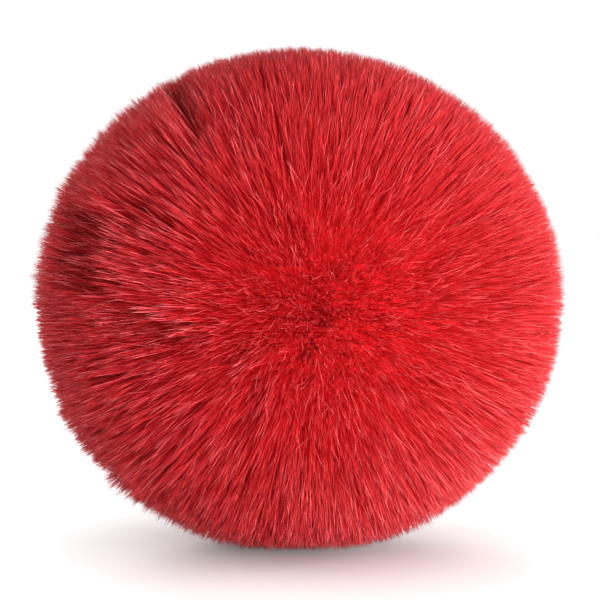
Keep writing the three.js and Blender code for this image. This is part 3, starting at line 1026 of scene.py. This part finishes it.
def strand_points(line, radius):
    """Tapered three-sided strands, each ending in a point."""
    along = np.empty_like(line)
    along[:, 1:-1] = line[:, 2:] - line[:, :-2]
    along[:, 0] = line[:, 1] - line[:, 0]
    along[:, -1] = line[:, -1] - line[:, -2]
    along = unit(along)
    across = unit(np.cross(along, unit(rng.normal(0, 1, (len(line), 1, 3)))))
    third = np.cross(along, across)
    taper = 1 - TIP_TAPER * PLACES[:-1] ** 2
    angle = turns(SIDES)[None, None, :, None]
    ring = np.cos(angle) * across[:, :-1, None, :] + np.sin(angle) * third[:, :-1, None, :]
    rings = line[:, :-1, None, :] + ring * (radius[:, None] * taper[None, :])[:, :, None, None]
    return np.concatenate([rings.reshape(len(line), RINGS * SIDES, 3), line[:, -1:, :]], axis=1)


def strand_faces():
    """Corner numbers, face sizes, and each corner's ring and share of the way round the strand."""
    corners, sizes, rows, sides = [2, 1, 0], [3], [0, 0, 0], [0, 0, 0]
    for k in range(RINGS - 1):
        for s in range(SIDES):
            n = (s + 1) % SIDES
            low, high = k * SIDES, (k + 1) * SIDES
            corners += [low + s, low + n, high + n, high + s]
            rows += [k, k, k + 1, k + 1]
            sides += [s, s + 1, s + 1, s]
            sizes.append(4)
    last = (RINGS - 1) * SIDES
    for s in range(SIDES):
        corners += [last + s, last + (s + 1) % SIDES, STRAND_POINTS - 1]
        rows += [RINGS - 1, RINGS - 1, RINGS]
        sides += [s, s + 1, s + 0.5]
        sizes.append(3)
    return np.array(corners), np.array(sizes), np.array(rows), np.array(sides) / SIDES


def fur_piece(name, points, tint, made):
    """One band of strands. Their tint and how near the tip they are is their place on the map."""
    corners, sizes, rows, sides = strand_faces()
    count = len(points)
    mesh = bpy.data.meshes.new(name)
    mesh.vertices.add(count * STRAND_POINTS)
    mesh.vertices.foreach_set("co", ((points + CENTRE) * MM).astype(np.float32).ravel())
    corner = corners[None, :] + (np.arange(count) * STRAND_POINTS)[:, None]
    mesh.loops.add(corner.size)
    mesh.loops.foreach_set("vertex_index", corner.astype(np.int32).ravel())
    size = np.tile(sizes, count)
    mesh.polygons.add(len(size))
    mesh.polygons.foreach_set("loop_start", np.concatenate([[0], np.cumsum(size)[:-1]]).astype(np.int32))
    u = tint[:, rows] + 0.004 * (sides[None, :] - 0.5)
    v = np.broadcast_to(0.01 + 0.98 * PLACES[rows], u.shape)
    layer = mesh.uv_layers.new(name="OFBake")
    layer.data.foreach_set("uv", np.stack([u, v], axis=2).astype(np.float32).ravel())
    mesh.update()
    piece = placed(name, mesh)
    finish_piece(piece, made, 180)
    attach(piece, "root")
    return piece


def grow_fur():
    """The long pile, in bands from the whorl to the nest."""
    line, radius, tint, angle = comb()
    points = strand_points(line, radius)
    made = fur_material()
    order = np.argsort(angle)
    for k in range(0, len(order), STRANDS_A_PIECE):
        chosen = order[k : k + STRANDS_A_PIECE]
        fur_piece(f"fur_band_{k // STRANDS_A_PIECE + 1:02d}", points[chosen], tint[chosen], made)


def under_fur_shape():
    """The mass of short dense hair below the long strands: a thick shell round the bag, open to the nest."""
    columns = 300
    angle = turns(columns)
    streak = rng.normal(0, 1, columns)
    streak = (streak + np.roll(streak, 1)) / 2
    place = np.radians(np.linspace(2, 143, 130))
    r_out = UNDER_FUR_SHARE * BALL[0] * np.sin(place)
    y_out = -UNDER_FUR_SHARE * BALL[1] * np.cos(place)
    wall = np.array([[r_out[-1], y_out[-1]], [34.5, 47], [32.5, 41], [30, 34], [27, 29], [24.8, 24.6]])
    nest = even(wall, 30)[1:]
    back = np.radians(np.linspace(44, 0, 30))
    bag_back = np.stack([(BAG_RADIUS + 0.5) * np.cos(back), (BAG_BACK + 0.5) * np.sin(back)], axis=1)
    bag_front = arc((0, 0), (BAG_RADIUS + 0.5, BAG_FRONT + 0.5), 0, -88, 40)[1:]
    inner = np.concatenate([nest, bag_back, bag_front])
    ridge = 1 + 0.012 * streak[None, :] * np.sin(place)[:, None]
    r = np.concatenate([r_out[:, None] * ridge, np.repeat(inner[:, :1], columns, axis=1)])
    y = np.concatenate([y_out[:, None] * ridge, np.repeat(inner[:, 1:], columns, axis=1)])
    points, faces = turned(r, y, columns, (-UNDER_FUR_SHARE * BALL[1], -BAG_FRONT - 0.5))
    outer = slice(0, len(place) * columns)
    points[outer, 2] *= BALL[2] / BALL[0]
    deep, _ = stepped(points[outer] / UNDER_FUR_SHARE)
    points[outer] *= (1 - deep)[:, None]
    points[:, 2] = np.maximum(points[:, 2], -CENTRE[2] + 2.5)
    return points, faces


# ---- Putting it together ----

def build():
    knit, thread_red = knit_material(), thread_material()
    felt = fibre_material("felt", FELT_REDS, 2.2, 0.16, 0.35)
    filling = fibre_material("fibre_filling", FILLING_WHITES, 1.2, 0.35, 0.3)
    white = plastic_material("stiffener_plastic", DISC_WHITES, 0.5, 5.0, 0.015)
    black = plastic_material("bracket_plastic", BRACKET_BLACKS, 0.42, 4.0, 0.03)
    nickel = nickel_material()
    webbing = webbing_material()

    add("under_fur", under_fur_shape(), under_fur_material(), replaces=["fur_pile"])
    grow_fur()

    backing = add("backing", backing_shape(), knit, replaces=["backing_fabric"])
    drilled(backing, knit, 60)
    pad = add("filling", filling_shape(), filling, replaces=["stuffing"])
    ring_line = ring_path(THREAD_HIGH[0] - 0.55, THREAD_Y, 10 * PLEATS, 0.1, PLEATS)
    ring = thread(ring_line, GATHERING_THREAD, closed=True)
    add("gathering_cord", ring, thread_red, replaces=["gathering_thread"])
    add("gathering_cord_knot", knot_shape(), thread_red, replaces=["gathering_knot"])

    disc_section = rounded_ring(0, DISC_HIGH[0], DISC_LOW[1], DISC_HIGH[1], 0.35)
    disc = add("stiffener", lathe(disc_section, 120), white, replaces=["stiffener_disc"])
    drilled(disc, white, 40)
    patch = add("felt", felt_shape(), felt, replaces=["felt_patch"])
    drilled(patch, felt, 60)
    add("felt_blanket_stitch", felt_stitch_shape(), thread_red, replaces=["felt_stitching"])
    for side, x in (("left", -RIVET_X), ("right", RIVET_X)):
        pin, plate = rivet_shape(x), washer_shape(x)
        add(f"rivet_pin_{side}", pin, nickel, replaces=[f"rivet_{side}"], sharp=50)
        add(f"rivet_washer_{side}", plate, nickel, replaces=[f"washer_{side}"], sharp=50)

    bracket = frame["nodes"]["loop_bracket"]
    finish_piece(bracket, black, BRACKET_SHARP)
    rounding = bracket.modifiers.new("rounded edges", "BEVEL")
    rounding.width = BRACKET_ROUNDING * MM
    rounding.segments = 3
    rounding.limit_method = "ANGLE"
    rounding.angle_limit = math.radians(BRACKET_SHARP)

    points, faces, w, gone = webbing_shape()
    band = add("webbing_loop", (points, faces), webbing, body="loop", replaces=["finger_loop"])
    weave_map(band, w, gone)
    add("bar_tack", tack_shape(), thread_red, body="loop", replaces=["loop_stitching"])


build()

# ---- Stage ----

WIDTH_SEEN = 171.5
AIM_HEIGHT = 70.9
CAMERA_RISE = math.radians(3)
CAMERA_LENS = 110
SENSOR_WIDTH = 36
FLOOR_HALF_WIDTH = 6.0  # metres
WORLD_STRENGTH = 1.06
LIGHTS = {  # place and size in metres, and power in watts
    "key": ((0.98, -0.8, 0.06), 0.5, 17),
    "front_fill": ((0.45, -1.2, 0.1), 0.6, 8),
    "low_front": ((0.35, -0.6, 0.05), 0.1, 5.5),
    "right_rim": ((1.0, 0.25, 0.2), 0.4, 4),
    "left_rim": ((-0.9, 0.2, 0.5), 0.4, 1),
    "back_fill": ((-0.3, 1.2, 0.5), 0.6, 7),
}


def stage_floor():
    """A wide white floor with a faint, even grain."""
    mesh = bpy.data.meshes.new("floor")
    half = FLOOR_HALF_WIDTH
    corners = [(-half, -half, 0), (half, -half, 0), (half, half, 0), (-half, half, 0)]
    mesh.from_pydata(corners, [], [(0, 1, 2, 3)])
    floor = placed("floor", mesh)
    made = material("floor", 0.9, specular=0.1)
    grain = cloudy(made, position(made), 0.02, 3)
    coat(made, ramp(made, grain, [(0.3, (0.94, 0.94, 0.94)), (0.7, (0.96, 0.96, 0.96))]), grain, 0.02)
    mesh.materials.append(made)


def aimed(thing, place, target):
    """Puts a light or camera at a place, facing a target."""
    thing.location = place
    thing.rotation_mode = "QUATERNION"
    thing.rotation_quaternion = (Vector(place) - Vector(target)).to_track_quat("Z", "Y")


def soft_light(name, place, size, power):
    """A round soft light, in metres and watts, aimed at the ball."""
    light = bpy.data.lights.new(name, "AREA")
    light.shape = "DISK"
    light.size = size
    light.energy = power
    aimed(placed(name, light), place, CENTRE * MM)


def studio():
    world = bpy.data.worlds.new("studio")
    bpy.context.scene.world = world
    world.use_nodes = True
    background = world.node_tree.nodes["Background"].inputs
    background["Color"].default_value = (1, 1, 1, 1)
    background["Strength"].default_value = WORLD_STRENGTH
    for name, (place, size, power) in LIGHTS.items():
        soft_light(name, place, size, power)


def camera_in_front():
    camera = bpy.data.cameras.new("camera")
    camera.lens = CAMERA_LENS
    camera.sensor_width = SENSOR_WIDTH
    eye = placed("camera", camera)
    distance = WIDTH_SEEN * MM * CAMERA_LENS / SENSOR_WIDTH
    target = Vector((0, 0, AIM_HEIGHT * MM))
    place = target + Vector((0, -math.cos(CAMERA_RISE), math.sin(CAMERA_RISE))) * distance
    aimed(eye, place, target)
    bpy.context.scene.camera = eye
    bpy.context.scene.view_settings.view_transform = "Standard"


stage_floor()
studio()
camera_in_front()
